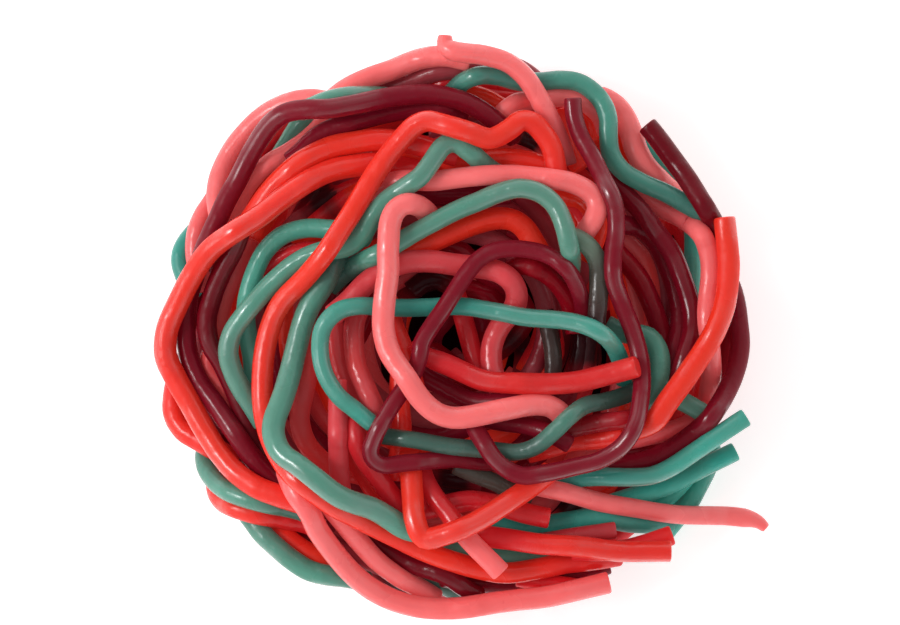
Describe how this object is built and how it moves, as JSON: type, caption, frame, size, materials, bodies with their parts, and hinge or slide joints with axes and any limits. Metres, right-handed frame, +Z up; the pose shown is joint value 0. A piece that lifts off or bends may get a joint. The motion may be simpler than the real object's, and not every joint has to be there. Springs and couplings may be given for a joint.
{
  "type": "candy lace heap",
  "caption": "Round tangled heap of soft glossy candy laces in red, pink, green and maroon, with blunt cut ends sticking out.",
  "frame": {"origin": "middle of the flat underside of the heap, on the surface that it lies on", "axes": "+Z up out of the heap, +X to the right and +Y to the top of the view from straight above"},
  "size_m": [0.1031, 0.0971, 0.03],
  "materials": {
    "lace_red": "soft glossy bright red candy, slightly translucent",
    "lace_pink": "soft glossy coral pink candy, slightly translucent",
    "lace_green": "soft glossy blue-green candy, slightly translucent",
    "lace_maroon": "soft glossy dark wine-red candy with thin silvery highlights"
  },
  "bodies": {
    "root": {"lace_heap": "lace_red"}
  },
  "joints": []
}
